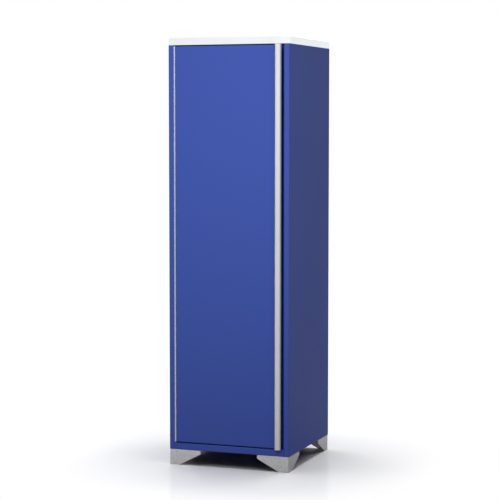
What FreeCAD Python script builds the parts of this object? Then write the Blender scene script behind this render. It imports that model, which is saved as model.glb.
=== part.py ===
import FreeCAD, Part
import math
import os
from FreeCAD import Vector

# Tall single-door steel side locker for a tool chest.
#
# A folded-sheet carcass stands on four corner brackets and carries a metal-clad worktop. One full-height door
# hangs on a continuous hinge at the left and is pulled open by a full-height aluminium handle at the right.
# Two magnetic catches hold the door shut. Inside, four shelves sit on clips in slotted uprights.
#
# Millimetres. +Z is up, -Y is the front and +X is to the right of someone who faces the door. The origin is
# the centre of the overall box at floor level.

# ---------------------------------------------------------------- driving dimensions

# Overall
WIDTH = 457.0  # across the side panels
DEPTH = 460.0  # face of the stiles to the rear face of the back panel
FOOT_HEIGHT = 56.0  # floor to the underside of the carcass
CARCASS_HEIGHT = 1458.0  # underside of the carcass to the underside of the worktop
WORKTOP_HEIGHT = 26.0

# Carcass sheet
SHEET = 1.2
BEND = 1.2  # inside radius of a fold
SEAM = 0.15  # gap between two sheets that butt together
BACK_SHEET = 1.0
BACK_RIVET_PITCH = 160.0  # about, before it is divided evenly
STILE = 20.0  # face width beside the door
RAIL = 24.0  # face height under the door
PANEL_LIP = 5.0  # side panel's front lip, which the door post is welded to
POST_FLANGE = 12.0  # post's flange on the side panel
STOP_LAP = 14.0  # stop strip's seat behind the post, from the jamb outwards
STOP_REACH = 30.0  # strip behind the door's edges, from the jamb inwards
STOP_SHEET = 2.0
REAR_FLANGE = 12.0
BASE_RETURN = 36.0  # flange under the floor pan, which the feet bolt to
HEADER = 35.0  # drop of the top pan's front flange
PAN_FLANGE = 24.0  # drop of the top pan's other flanges
STIFFENER_WIDTH = 70.0
STIFFENER_DEPTH = 16.0
STIFFENER_LIP = 14.0
RIB_RADIUS = 5.0  # pressed half-round ribs in flat sheets
RIB_SPACING = 150.0  # between the two ribs of the back panel
RIB_MARGIN = 110.0  # from a rib's end to the edge of its sheet

# Worktop
CLAD = 1.0  # metal skin over the core
CLAD_RETURN = 14.0  # skin folded under the core
CLAD_RADIUS = 1.8
CORE_FIT = 0.1
WORKTOP_SCREW_INSET = 64.0  # from the worktop's edges
WORKTOP_SCREW_LENGTH = 18.0

# Feet
FOOT_SPAN = 120.0  # top of a foot, along the cabinet from its corner
FOOT_TOE = 38.0  # bottom of a foot, along the floor
FOOT_EDGE = 13.0  # straight end above the slope
FOOT_SHEET = 3.0
FOOT_INSET = 0.5
FOOT_BEND = 4.0
FOOT_PLATE = 34.0  # width of the plate's ends at the top of a foot
FOOT_PLATE_REACH = 104.0
FOOT_PAD = 12.0  # width of the pad's ends at the floor
BOLT_NEAR = 30.0  # corner bolt, from both faces
BOLT_FAR = 82.0  # the other two bolts, along the cabinet from its corner
BOLT_IN = 20.0  # and in from the face

# Door
DOOR_THICKNESS = 20.0
DOOR_GAP = 4.0  # above and below the door
DOOR_RADIUS = 2.0  # outside radius of the door's front edges
DOOR_HEM = 14.0  # flange round the rear of the door skin
LINER = 1.0
LINER_INSET = 2.0
LINER_RIB_SPACING = 230.0
STOP_GAP = 2.5  # door's rear face to the stop strips
DOOR_STIFFENER_WIDTH = 130.0
BACKING = 2.0  # strip inside the door under the handle's screws

# Continuous hinge
KNUCKLE_RADIUS = 3.5
PIN_RADIUS = 1.6
PIN_CLEARANCE = 0.05
LEAF = 1.2
LEAF_WIDTH = 19.0
KNUCKLE_PITCH = 30.3  # about, before it is divided evenly
KNUCKLE_GAP = 0.4
HINGE_SETBACK = 1.0  # hinge ends inside the door's ends
LEAF_START = 1.0  # behind the knuckles, where a leaf is one plate from end to end
HINGE_RIVET_PITCH = 95.0  # about, before it is divided evenly
HINGE_RIVET_END = 25.0
DOOR_RIVET_SHIFT = 30.0  # door's rivets above the frame's

# Handle
FINGER_SPACE = 18.5  # door's edge to the jamb
HANDLE_WIDTH = 20.6
HANDLE_PROUD = 19.3  # handle's front in front of the door's face
HANDLE_OVERHANG = 11.0  # beyond the door's edge
HANDLE_SETBACK = 3.0  # overhang's rear face in front of the door's face
HANDLE_WALL = 2.0
HANDLE_CORNER = 3.0  # radius of the overhang's rear corner
NOSE_CORNER = 5.5  # radius of the two front corners
CAP = 2.0
PLUG_LENGTH = 8.0
PLUG_FIT = 0.2
HANDLE_SCREW_PITCH = 220.0  # about, before it is divided evenly
HANDLE_SCREW_END = 60.0
HANDLE_SCREW_GRIP = 4.0  # screw's length inside the handle

# Shelves
SHELVES = 4
SHELF_FLANGE = 25.0
SHELF_RETURN = 12.0
SHELF_CLEARANCE = 1.0
SHELF_SETBACK = 14.0  # shelf's front edge behind the stop strips
SHELF_REAR_GAP = 14.0
UPRIGHT_DEPTH = 9.0
UPRIGHT_WIDTH = 22.0
UPRIGHT_FRONT = 70.0  # front upright, from the stiles' face
UPRIGHT_REAR = 60.0  # rear upright, from the back panel
SLOT_PITCH = 25.0
SLOT_WIDTH = 12.0
SLOT_HEIGHT = 3.0
SLOT_START = 40.0  # first slot above the floor pan
CLIP = 1.5
CLIP_WIDTH = 11.0
CLIP_TAB = 14.0
CLIP_TONGUE = 4.0

# Magnetic catches
CATCH_WIDTH = 15.0
CATCH_DEPTH = 22.0
CATCH_HEIGHT = 46.0
CATCH_FROM_END = 60.0  # from the floor pan, and from the header
CATCH_FROM_STOP = 0.6  # from the stop strip's edge
CATCH_AIR = 0.3
POLE = 1.5
POLE_PROUD = 1.0
MAGNET_WIDTH = 6.0
MAGNET_DEPTH = 14.0
MAGNET_HEIGHT = 34.0
BRACKET = 1.5
BRACKET_LEG = 20.0
STRIKE = 1.0
STRIKE_WIDTH = 13.0
STRIKE_MARGIN = 3.0  # strike plate's edge beyond its rivets' heads, and the heads beyond the poles
CATCH_SCREW_INSET = 3.7  # from the housing's ends
CATCH_SCREW_LENGTH = 10.0
CATCH_RIVET_SPACING = 23.0

# Wall rail
RAIL_PLATE = 2.5
RAIL_PLATE_HEIGHT = 46.0
RAIL_PLATE_LEG = 16.0
RAIL_PLATE_DROP = 70.0  # centre of its holes below the worktop
ANCHOR_SPACING = 304.8
ANCHOR_RADIUS = 4.5
RAIL_RIVET_INSET = 30.0  # from the anchors' holes, towards the middle

# Fasteners
HOLE_FIT = 0.1  # radial clearance round every shank
DRILL_REST = 0.5  # blind hole beyond a screw's tip
RIVET_RADIUS = 1.6
RIVET_HEAD = 1.0
RIVET_HEAD_RADIUS = 3.2
RIVET_TAIL = 1.4
RIVET_TAIL_RADIUS = 2.4
SCREW_RADIUS = 2.0
SCREW_HEAD = 2.2
SCREW_HEAD_RADIUS = 3.8
BOLT_RADIUS = 4.0
BOLT_HEAD = 5.3
BOLT_FLATS = 13.0
BOLT_PROUD = 1.0  # bolt's end beyond its nut
NUT_HEIGHT = 6.5
BUMPER_RADIUS = 3.5
BUMPER_AIR = 0.3
BUMPER_PITCH = 500.0  # about, before it is divided evenly
BUMPER_EDGE = 1.0  # from the liner's edge

# ---------------------------------------------------------------- places worked out from the dimensions

left = -WIDTH / 2
right = WIDTH / 2
front = HANDLE_PROUD - (HANDLE_PROUD + DEPTH + RIVET_HEAD) / 2  # face of the stiles
back = front + DEPTH  # rear face of the back panel
middle_y = (front + back) / 2
z_carcass = FOOT_HEIGHT
z_floor = z_carcass + RAIL
z_worktop = z_carcass + CARCASS_HEIGHT
half = SHEET / 2
stop = front + DOOR_THICKNESS + STOP_GAP  # face of the stop strips
stop_rear = stop + STOP_SHEET
inner_back = back - BACK_SHEET  # front face of the back panel
tray_front = stop_rear + SEAM

hinge_x = left + STILE + KNUCKLE_RADIUS
door_left = hinge_x + KNUCKLE_RADIUS
door_right = right - STILE - FINGER_SPACE
door_bottom = z_floor + DOOR_GAP
door_top = z_worktop - DOOR_GAP
door_rear = front + DOOR_THICKNESS
skin_rear = door_rear - LINER

header_bottom = z_worktop - HEADER
upright_face = WIDTH / 2 - SHEET - UPRIGHT_DEPTH  # slotted faces, from the middle
upright_top = z_worktop - max(HEADER, PAN_FLANGE) - SHEET
slot_count = int((upright_top - z_floor - 2 * SLOT_START) / SLOT_PITCH) + 1
slots = [z_floor + SLOT_START + n * SLOT_PITCH for n in range(slot_count)]
shelf_slots = [slots[round(n * slot_count / (SHELVES + 1))] for n in range(1, SHELVES + 1)]

catch_right = right - STILE - STOP_REACH - CATCH_FROM_STOP
catch_left = catch_right - CATCH_WIDTH
pole_face = door_rear + STRIKE + CATCH_AIR
catch_centres = {"lower": z_floor + CATCH_FROM_END, "upper": header_bottom - CATCH_FROM_END}
anchor_z = z_worktop - RAIL_PLATE_DROP

PLAN = (Vector(1, 0, 0), Vector(0, 1, 0), Vector(0, 0, 1))  # outline in x and y, run along z
SIDE = (Vector(0, 1, 0), Vector(0, 0, 1), Vector(1, 0, 0))  # outline in y and z, run along x
FACE = (Vector(1, 0, 0), Vector(0, 0, 1), Vector(0, 1, 0))  # outline in x and z, run along y
X, Y, Z = PLAN

# ---------------------------------------------------------------- shapes


def box(x, y, z):
    """A block between two limits on each axis."""
    return Part.makeBox(x[1] - x[0], y[1] - y[0], z[1] - z[0], Vector(x[0], y[0], z[0]))


def rod(radius, start, along):
    """A round bar from a point, along a vector."""
    return Part.makeCylinder(radius, along.Length, start, along)


def at(frame, u, v, w):
    return frame[0] * u + frame[1] * v + frame[2] * w


def prism(outline, limits, frame):
    """A straight bar with a polygon for its section, between two limits."""
    corners = [at(frame, u, v, limits[0]) for u, v in outline]
    face = Part.Face(Part.makePolygon(corners + corners[:1]))
    return face.extrude(frame[2] * (limits[1] - limits[0]))


def folded(path, limits, frame, thickness=SHEET, bend=BEND):
    """Folded sheet. path is the corners of the sheet's middle line, and bend is each fold's inside radius."""
    line = [Vector(u, v, 0) for u, v in path]
    runs = [(b - a).normalize() for a, b in zip(line, line[1:])]
    normals = [Vector(-run.y, run.x, 0) for run in runs]
    middle = bend + thickness / 2

    def put(point):
        return at(frame, point.x, point.y, limits[0])

    edges = []
    ends = []
    for side in (1, -1):
        here = line[0] + normals[0] * (side * thickness / 2)
        ends.append([here])
        for n in range(1, len(runs)):
            turn = math.copysign(1, runs[n - 1].cross(runs[n]).z)
            setback = middle * math.tan(runs[n - 1].getAngle(runs[n]) / 2)
            centre = line[n] - runs[n - 1] * setback + normals[n - 1] * (turn * middle)
            radius = middle - side * turn * thickness / 2
            half_way = (normals[n - 1] + normals[n]).normalize()
            arc = [centre - across * (turn * radius) for across in (normals[n - 1], half_way, normals[n])]
            edges.append(Part.LineSegment(put(here), put(arc[0])).toShape())
            edges.append(Part.Arc(*[put(point) for point in arc]).toShape())
            here = arc[2]
        last = line[-1] + normals[-1] * (side * thickness / 2)
        edges.append(Part.LineSegment(put(here), put(last)).toShape())
        ends[-1].append(last)
    for n in (0, 1):
        edges.append(Part.LineSegment(put(ends[0][n]), put(ends[1][n])).toShape())
    face = Part.Face(Part.Wire(Part.__sortEdges__(edges)))
    return face.extrude(frame[2] * (limits[1] - limits[0]))


def turned(outline, base, axis):
    """A turned piece. outline is pairs of radius and height along the axis, and it ends on the axis."""
    corners = [Vector(radius, 0, height) for radius, height in outline]
    face = Part.Face(Part.makePolygon(corners + corners[:1]))
    shape = face.revolve(Vector(0, 0, 0), Z, 360)
    shape.Placement = FreeCAD.Placement(base, FreeCAD.Rotation(Z, axis))
    return shape


def hexagon(flats, height, base):
    """A hexagonal prism that stands on a point."""
    radius = flats / math.sqrt(3)
    corners = [(base.x + radius * math.cos(math.pi * n / 3), base.y + radius * math.sin(math.pi * n / 3))
               for n in range(6)]
    return prism(corners, (base.z, base.z + height), PLAN)


def rivet(base, axis, grip):
    """Blind rivet: a low domed head outside base, and its tail beyond the grip. axis points into the work."""
    dome = RIVET_HEAD_RADIUS - RIVET_HEAD / 2
    outline = [(0, -RIVET_HEAD), (dome * 0.6, -RIVET_HEAD), (dome, -RIVET_HEAD * 0.7),
               (RIVET_HEAD_RADIUS, -RIVET_HEAD * 0.2), (RIVET_HEAD_RADIUS, 0), (RIVET_RADIUS, 0),
               (RIVET_RADIUS, grip), (RIVET_TAIL_RADIUS, grip), (RIVET_TAIL_RADIUS * 0.8, grip + RIVET_TAIL),
               (0, grip + RIVET_TAIL)]
    return turned(outline, base, axis)


def screw(base, axis, length):
    """Pan-head screw: its head lies outside base, and its shank runs along the axis into the work."""
    head = SCREW_HEAD_RADIUS
    outline = [(0, -SCREW_HEAD), (head * 0.7, -SCREW_HEAD), (head, -SCREW_HEAD * 0.5), (head, 0),
               (SCREW_RADIUS, 0), (SCREW_RADIUS, length - SCREW_RADIUS), (SCREW_RADIUS * 0.3, length),
               (0, length)]
    return turned(outline, base, axis)


def drilled(shape, holes):
    """The shape without a list of hole tools."""
    return shape.cut(Part.makeCompound(holes)) if holes else shape


def hole(radius, base, axis, depth):
    """Tool for a hole that starts at base and goes a depth along the axis."""
    return rod(radius + HOLE_FIT, base, axis * depth)


def through(radius, point, axis, reach):
    """Tool for a hole that goes through, a reach each side of a point."""
    return hole(radius, point - axis * reach, axis, 2 * reach)


def fused(shapes):
    return shapes[0].multiFuse(shapes[1:]).removeSplitter()


def mirrored_x(shape):
    return shape.mirror(Vector(0, 0, 0), X)


def mirrored_y(shape):
    return shape.mirror(Vector(0, middle_y, 0), Y)


def spread(low, high, pitch):
    """Even places from low to high, about a pitch apart."""
    count = max(1, round((high - low) / pitch))
    return [low + (high - low) * n / count for n in range(count + 1)]


def rib(centre, axis_z, radius, sign):
    """Half-round rib along z between two heights, on a sheet face at centre. sign is its side, along y."""
    low, high = axis_z
    start = Vector(centre.x, centre.y, low)
    bar = fused([rod(radius, start, Z * (high - low)), Part.makeSphere(radius, start),
                 Part.makeSphere(radius, start + Z * (high - low))])
    reach = 2 * radius
    y_side = sorted((centre.y, centre.y + sign * reach))
    return bar.common(box((centre.x - reach, centre.x + reach), y_side, (low - reach, high + reach)))


# ---------------------------------------------------------------- carcass

back_rivet_z = spread(z_carcass + RAIL / 2, z_worktop - PAN_FLANGE / 2, BACK_RIVET_PITCH)
edge_x = WIDTH / 2 - REAR_FLANGE / 2
back_rivet_x = spread(-edge_x, edge_x, BACK_RIVET_PITCH)[1:-1]
rail_rivet_x = [side * (ANCHOR_SPACING / 2 - RAIL_RIVET_INSET) for side in (-1, 1)]


def back_rivet_places():
    """Rivets in the back panel: down both rear flanges, and along the pans' rear flanges."""
    places = [Vector(side * edge_x, back, z) for side in (-1, 1) for z in back_rivet_z]
    for z in (z_carcass + RAIL / 2, z_worktop - PAN_FLANGE / 2):
        places += [Vector(x, back, z) for x in back_rivet_x]
    return places


def back_holes(radius):
    return [through(radius, place, Y, 4 * SHEET) for place in back_rivet_places()]


hinge_rivet_z = spread(door_bottom + HINGE_RIVET_END, door_top - HINGE_RIVET_END, HINGE_RIVET_PITCH)
door_rivet_z = [z + DOOR_RIVET_SHIFT for z in hinge_rivet_z[:-1]]
hinge_rivet_y = front + (KNUCKLE_RADIUS + LEAF_START + LEAF_WIDTH) / 2
bumper_z = spread(catch_centres["lower"] + CATCH_HEIGHT, catch_centres["upper"] - CATCH_HEIGHT, BUMPER_PITCH)
bumper_x = door_right - LINER_INSET - BUMPER_RADIUS - BUMPER_EDGE


def bracket_rivet_places():
    """Rivets that hold the catches' brackets to the right stop strip."""
    x = catch_right + BRACKET + BRACKET_LEG / 2
    half_way = CATCH_RIVET_SPACING / 2
    return [Vector(x, stop, z + side * half_way) for z in catch_centres.values() for side in (-1, 1)]


def side_panel():
    """Left side panel, one folded sheet: rear flange, skin and front lip."""
    rear = inner_back - half
    path = [(left + REAR_FLANGE, rear), (left + half, rear), (left + half, front + half),
            (left + PANEL_LIP, front + half)]
    panel = folded(path, (z_carcass, z_worktop), PLAN)
    return drilled(panel, back_holes(RIVET_RADIUS))


def side_panel_right():
    return mirrored_x(side_panel())


def door_post():
    """Left door post: stile beside the panel's lip, jamb, return, and a flange on the panel's inner face."""
    jamb = left + STILE - half
    flange = left + SHEET + half
    path = [(left + PANEL_LIP, front + half), (jamb, front + half), (jamb, stop - half),
            (flange, stop - half), (flange, stop - POST_FLANGE)]
    return folded(path, (z_carcass, z_worktop), PLAN)


def door_post_left():
    places = [Vector(left + STILE, hinge_rivet_y, z) for z in hinge_rivet_z]
    return drilled(door_post(), [through(RIVET_RADIUS, place, X, 3 * SHEET) for place in places])


def door_post_right():
    return mirrored_x(door_post())


def door_stop():
    """Left stop strip, a flat bar welded behind the door post."""
    x = (left + STILE - STOP_LAP, left + STILE + STOP_REACH)
    return box(x, (stop, stop_rear), (z_floor, z_worktop))


def door_stop_right():
    holes = [through(BUMPER_RADIUS / 2, Vector(bumper_x, stop, z), Y, 2 * STOP_SHEET) for z in bumper_z]
    holes += [through(RIVET_RADIUS, place, Y, 2 * STOP_SHEET) for place in bracket_rivet_places()]
    return drilled(mirrored_x(door_stop()), holes)


def rear_corners(drop):
    """Tools that clear a pan's rear corners round the side panels' rear flanges and the folds beside them."""
    behind = inner_back + SHEET
    flange = box((WIDTH / 2 - REAR_FLANGE - SEAM, WIDTH / 2), (inner_back - SHEET - SEAM, behind), drop)
    relief = SHEET + BEND + SEAM
    fold = box((WIDTH / 2 - relief, WIDTH / 2), (inner_back - relief, behind), drop)
    return [flange, fold, mirrored_x(flange), mirrored_x(fold)]


def floor_pan():
    """Tray that is the locker's floor. Its front is the rail under the door. Its returns take the feet."""
    x = (left + SHEET + SEAM, right - SHEET - SEAM)
    y = (tray_front, inner_back)
    z = (z_carcass, z_floor)
    nose_path = [(front + BASE_RETURN, z_carcass + half), (front + half, z_carcass + half),
                 (front + half, z_floor - half), (tray_front + SHEET, z_floor - half)]
    nose = folded(nose_path, (left + STILE + SEAM, right - STILE - SEAM), SIDE)
    floor = box(x, y, (z_floor - SHEET, z_floor))
    rear = box(x, (inner_back - SHEET, inner_back), z)
    rear_return = box(x, (inner_back - BASE_RETURN, inner_back), (z_carcass, z_carcass + SHEET))
    flank = box((x[0], x[0] + SHEET), y, z)
    flank_return = box((x[0], x[0] + BASE_RETURN), y, (z_carcass, z_carcass + SHEET))
    sides = [flank, flank_return, mirrored_x(flank), mirrored_x(flank_return)]
    pan = fused([nose, floor, rear, rear_return] + sides)
    bolts = [through(BOLT_RADIUS, place, Z, 3 * SHEET) for place in bolt_places()]
    return drilled(pan, rear_corners((z_carcass - SHEET, z_floor + SHEET)) + bolts + back_holes(RIVET_RADIUS))


def floor_stiffener():
    """Hat channel welded under the floor, from the rail to the rear flange."""
    reach = STIFFENER_WIDTH / 2
    high = z_floor - SHEET - half
    low = high + SHEET - STIFFENER_DEPTH
    path = [(-reach - STIFFENER_LIP, high), (-reach, high), (-reach, low), (reach, low), (reach, high),
            (reach + STIFFENER_LIP, high)]
    return folded(path, (front + BASE_RETURN + SHEET, inner_back - BASE_RETURN - SHEET), FACE)


screw_x = WIDTH / 2 - WORKTOP_SCREW_INSET
screw_y = DEPTH / 2 - WORKTOP_SCREW_INSET
worktop_screw_places = [Vector(x, middle_y + y, z_worktop - SHEET) for x in (-screw_x, 0, screw_x)
                        for y in (-screw_y, screw_y)]


def top_pan():
    """Pan that closes the carcass under the worktop. Its front flange is the header behind the door's top."""
    x = (left + SHEET + SEAM, right - SHEET - SEAM)
    y = (stop_rear, inner_back)
    plate = box(x, y, (z_worktop - SHEET, z_worktop))
    header = box(x, (y[0], y[0] + SHEET), (header_bottom, z_worktop))
    rear = box(x, (inner_back - SHEET, inner_back), (z_worktop - PAN_FLANGE, z_worktop))
    flank = box((x[0], x[0] + SHEET), y, (z_worktop - PAN_FLANGE, z_worktop))
    pan = fused([plate, header, rear, flank, mirrored_x(flank)])
    holes = rear_corners((header_bottom - SHEET, z_worktop + SHEET)) + back_holes(RIVET_RADIUS)
    holes += [through(SCREW_RADIUS, place, Z, 3 * SHEET) for place in worktop_screw_places]
    return drilled(pan, holes)


def anchor_holes():
    return [rod(ANCHOR_RADIUS, Vector(side * ANCHOR_SPACING / 2, inner_back - 3 * RAIL_PLATE, anchor_z),
                Y * (6 * RAIL_PLATE)) for side in (-1, 1)]


def rail_rivet_places():
    return [Vector(x, back, anchor_z) for x in rail_rivet_x]


def rail_rivet_holes():
    return [through(RIVET_RADIUS, place, Y, 3 * RAIL_PLATE) for place in rail_rivet_places()]


def back_panel():
    """Back panel with two pressed ribs, and the wall anchors' holes."""
    sheet = box((left, right), (inner_back, back), (z_carcass, z_worktop))
    run = (z_carcass + RIB_MARGIN, anchor_z - RIB_MARGIN)
    centres = [Vector(side * RIB_SPACING / 2, back, 0) for side in (-1, 1)]
    sheet = fused([sheet] + [rib(centre, run, RIB_RADIUS + BACK_SHEET, -1) for centre in centres])
    hollows = [rib(centre, run, RIB_RADIUS, -1) for centre in centres]
    return drilled(sheet, hollows + anchor_holes() + back_holes(RIVET_RADIUS) + rail_rivet_holes())


def wall_rail():
    """Angle behind the back panel's anchor holes, which spreads the load of the wall bolts."""
    run = WIDTH / 2 - REAR_FLANGE - SHEET
    rear = inner_back - RAIL_PLATE / 2
    high = anchor_z + RAIL_PLATE_HEIGHT / 2 - RAIL_PLATE / 2
    path = [(rear, anchor_z - RAIL_PLATE_HEIGHT / 2), (rear, high), (rear - RAIL_PLATE_LEG, high)]
    angle = folded(path, (-run, run), SIDE, RAIL_PLATE, BEND)
    return drilled(angle, anchor_holes() + rail_rivet_holes())


def back_rivets():
    flange = [rivet(place, -Y, BACK_SHEET + SHEET) for place in back_rivet_places()]
    rail = [rivet(place, -Y, BACK_SHEET + RAIL_PLATE) for place in rail_rivet_places()]
    return Part.makeCompound(flange + rail)


# ---------------------------------------------------------------- worktop


def worktop_skin():
    """Metal skin over the top and edges of the worktop's core, folded a little way under it."""
    z = (z_worktop, z_worktop + WORKTOP_HEIGHT)
    outer = box((left, right), (front, back), z)
    edges = [edge for edge in outer.Edges if edge.BoundBox.ZMax > z[1] - CLAD / 2]
    outer = outer.makeFillet(CLAD_RADIUS, edges)
    inside = inner_worktop(CLAD, (z_worktop + CLAD, z[1] - CLAD))
    mouth = inner_worktop(CLAD + CLAD_RETURN, (z_worktop - CLAD, z_worktop + 2 * CLAD))
    return outer.cut(Part.makeCompound([inside, mouth]))


def inner_worktop(inset, z):
    return box((left + inset, right - inset), (front + inset, back - inset), z)


def worktop_core():
    """Board inside the skin."""
    core = inner_worktop(CLAD + CORE_FIT, (z_worktop + CLAD, z_worktop + WORKTOP_HEIGHT - CLAD))
    depth = WORKTOP_SCREW_LENGTH + DRILL_REST
    return drilled(core, [hole(SCREW_RADIUS, place, Z, depth) for place in worktop_screw_places])


def worktop_screws():
    return Part.makeCompound([screw(place, Z, WORKTOP_SCREW_LENGTH) for place in worktop_screw_places])


# ---------------------------------------------------------------- feet


def bolt_corner():
    """Bolt centres of the front left foot."""
    near = Vector(left + BOLT_NEAR, front + BOLT_NEAR, z_carcass)
    along = Vector(left + BOLT_FAR, front + BOLT_IN, z_carcass)
    back_along = Vector(left + BOLT_IN, front + BOLT_FAR, z_carcass)
    return [near, along, back_along]


def bolt_places():
    """Bolt centres of all four feet, at the underside of the carcass."""
    places = bolt_corner()
    places += [Vector(-place.x, place.y, place.z) for place in places]
    places += [Vector(place.x, 2 * middle_y - place.y, place.z) for place in places]
    return places


def foot():
    """Front left corner bracket: two sloped flanges, a plate at the top and a pad on the floor."""
    x0 = left + FOOT_INSET
    y0 = front + FOOT_INSET
    span = FOOT_SPAN - FOOT_INSET
    outline = [(0, 0), (FOOT_TOE, 0), (span, FOOT_HEIGHT - FOOT_EDGE), (span, FOOT_HEIGHT), (0, FOOT_HEIGHT)]
    face = prism([(x0 + u, v) for u, v in outline], (y0, y0 + FOOT_SHEET), FACE)
    flank = prism([(y0 + u, v) for u, v in outline], (x0, x0 + FOOT_SHEET), SIDE)
    wrap = face.fuse(flank).removeSplitter()
    corner = [edge for edge in wrap.Edges
              if edge.BoundBox.ZLength > FOOT_HEIGHT / 2 and edge.BoundBox.XMax < x0 + FOOT_SHEET / 2
              and edge.BoundBox.YMax < y0 + FOOT_SHEET / 2]
    wrap = wrap.makeFillet(FOOT_BEND, corner)
    plate = bracket_plate(x0, y0, FOOT_PLATE_REACH, FOOT_PLATE, (FOOT_HEIGHT - FOOT_SHEET, FOOT_HEIGHT))
    pad = bracket_plate(x0, y0, FOOT_TOE, FOOT_PAD, (0, FOOT_SHEET))
    bolts = [through(BOLT_RADIUS, place, Z, 2 * FOOT_SHEET) for place in bolt_corner()]
    return drilled(fused([wrap, plate, pad]), bolts)


def bracket_plate(x0, y0, reach, end, z):
    """Flat plate in the corner of a foot, with its free edge cut across."""
    low = FOOT_SHEET / 2
    outline = [(low, low + FOOT_BEND), (low + FOOT_BEND, low), (reach, low), (reach, end), (end, reach),
               (low, reach)]
    return prism([(x0 + u, y0 + v) for u, v in outline], z, PLAN)


def foot_bolts():
    """Hexagon-head bolts that come up through the feet."""
    bolts = []
    for place in bolt_places():
        base = place - Z * (FOOT_SHEET + BOLT_HEAD)
        head = hexagon(BOLT_FLATS, BOLT_HEAD, base)
        shank = rod(BOLT_RADIUS, base, Z * (BOLT_HEAD + FOOT_SHEET + SHEET + NUT_HEIGHT + BOLT_PROUD))
        bolts.append(head.fuse(shank).removeSplitter())
    return Part.makeCompound(bolts)


def foot_nuts():
    """Nuts welded to the returns of the floor pan."""
    nuts = []
    for place in bolt_places():
        seat = place + Z * SHEET
        nut = hexagon(BOLT_FLATS, NUT_HEIGHT, seat)
        nuts.append(drilled(nut, [through(BOLT_RADIUS, seat, Z, 2 * NUT_HEIGHT)]))
    return Part.makeCompound(nuts)


# ---------------------------------------------------------------- shelves


def upright(front_y):
    """Left slotted upright, a channel whose legs are welded to the side panel."""
    wall = left + SHEET
    face = wall + UPRIGHT_DEPTH - half
    path = [(wall, front_y + half), (face, front_y + half), (face, front_y + UPRIGHT_WIDTH - half),
            (wall, front_y + UPRIGHT_WIDTH - half)]
    channel = folded(path, (z_floor, upright_top), PLAN)
    centre = front_y + UPRIGHT_WIDTH / 2
    y = (centre - SLOT_WIDTH / 2, centre + SLOT_WIDTH / 2)
    x = (face - SHEET, face + SHEET)
    openings = [box(x, y, (z - SLOT_HEIGHT / 2, z + SLOT_HEIGHT / 2)) for z in slots]
    return drilled(channel, openings)


upright_fronts = {"front": front + UPRIGHT_FRONT, "rear": inner_back - UPRIGHT_REAR - UPRIGHT_WIDTH}


def shelf(z):
    """Shelf pan whose tray rests on the clips in slots at height z."""
    top = z + CLIP / 2 + SHEET
    y = (stop_rear + SHELF_SETBACK, inner_back - SHELF_REAR_GAP)
    low = top - SHELF_FLANGE + half
    high = top - half
    path = [(y[0] + SHELF_RETURN, low), (y[0] + half, low), (y[0] + half, high), (y[1] - half, high),
            (y[1] - half, low), (y[1] - SHELF_RETURN, low)]
    reach = upright_face - SHELF_CLEARANCE
    return folded(path, (-reach, reach), SIDE)


def clip(y, z):
    """Left shelf clip: a tab under the shelf, and two tongues through neighbouring slots."""
    face = -upright_face
    width = (y - CLIP_WIDTH / 2, y + CLIP_WIDTH / 2)
    tongue_x = (face - SHEET - CLIP_TONGUE, face + CLIP / 2)
    low = z - SLOT_PITCH
    tab = box((face, face + CLIP_TAB), width, (z - CLIP / 2, z + CLIP / 2))
    plate = box((face, face + CLIP), width, (low - CLIP / 2, z + CLIP / 2))
    tongues = [box(tongue_x, width, (level - CLIP / 2, level + CLIP / 2)) for level in (low, z)]
    return fused([tab, plate] + tongues)


def shelf_clips():
    clips = []
    for z in shelf_slots:
        for front_y in upright_fronts.values():
            one = clip(front_y + UPRIGHT_WIDTH / 2, z)
            clips += [one, mirrored_x(one)]
    return Part.makeCompound(clips)


# ---------------------------------------------------------------- magnetic catches and bumpers

magnet_x = ((catch_left + catch_right - MAGNET_WIDTH) / 2, (catch_left + catch_right + MAGNET_WIDTH) / 2)


def magnet_y():
    return (pole_face + POLE_PROUD, pole_face + POLE_PROUD + MAGNET_DEPTH)


def catch_screw_places(z):
    side = catch_right + BRACKET
    reach = CATCH_HEIGHT / 2 - CATCH_SCREW_INSET
    return [Vector(side, stop_rear + BRACKET_LEG * 0.75, z + way * reach) for way in (-1, 1)]


def catch_housing(z):
    """Moulded housing with a pocket for the magnet and its poles."""
    y = (pole_face + POLE_PROUD, pole_face + POLE_PROUD + CATCH_DEPTH)
    body = box((catch_left, catch_right), y, (z - CATCH_HEIGHT / 2, z + CATCH_HEIGHT / 2))
    edges = [edge for edge in body.Edges if edge.BoundBox.XMax < catch_left + POLE / 2]
    body = body.makeFillet(POLE, edges)
    pocket_x = (magnet_x[0] - POLE - SEAM, magnet_x[1] + POLE + SEAM)
    pocket_reach = MAGNET_HEIGHT / 2 + SEAM
    pocket = box(pocket_x, (y[0] - POLE, magnet_y()[1] + SEAM), (z - pocket_reach, z + pocket_reach))
    depth = CATCH_SCREW_LENGTH + DRILL_REST
    holes = [hole(SCREW_RADIUS, place, -X, depth) for place in catch_screw_places(z)]
    return drilled(body, [pocket] + holes)


def catch_magnet(z):
    return box(magnet_x, magnet_y(), (z - MAGNET_HEIGHT / 2, z + MAGNET_HEIGHT / 2))


def catch_poles(z):
    """The two steel poles beside a magnet, proud of it towards the door."""
    y = (pole_face, magnet_y()[1])
    height = (z - MAGNET_HEIGHT / 2, z + MAGNET_HEIGHT / 2)
    near = box((magnet_x[0] - POLE, magnet_x[0]), y, height)
    far = box((magnet_x[1], magnet_x[1] + POLE), y, height)
    return Part.makeCompound([near, far])


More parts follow.
